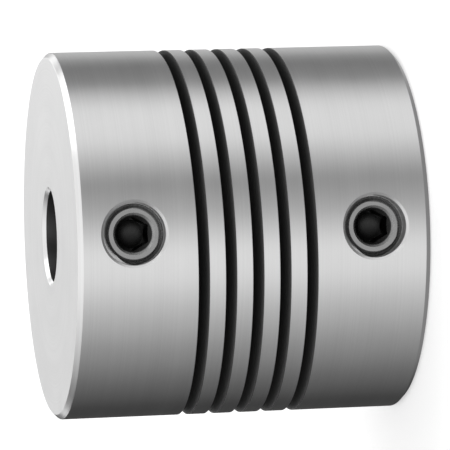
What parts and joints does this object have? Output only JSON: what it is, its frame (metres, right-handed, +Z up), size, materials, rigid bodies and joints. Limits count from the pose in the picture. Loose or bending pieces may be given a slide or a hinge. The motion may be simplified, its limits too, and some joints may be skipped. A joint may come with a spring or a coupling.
{
  "type": "beam coupling",
  "caption": "One-piece helical beam coupling with plain hubs and socket set screws, which joins two shafts of the same size and flexes between them.",
  "frame": {"origin": "centre of the bottom end face, on the shaft axis", "axes": "+Z up along the shaft axis from the bottom end face to the top one, -Y out of the set screws, +X to the right of someone who faces the set screws"},
  "size_m": [0.0254, 0.0254, 0.024],
  "materials": {
    "turned_aluminium": "fine turned, bright",
    "dark_steel": "plain alloy steel, satin"
  },
  "bodies": {
    "root": {"coupling_body": "turned_aluminium", "upper_set_screw": "dark_steel", "lower_set_screw": "dark_steel"}
  },
  "joints": []
}
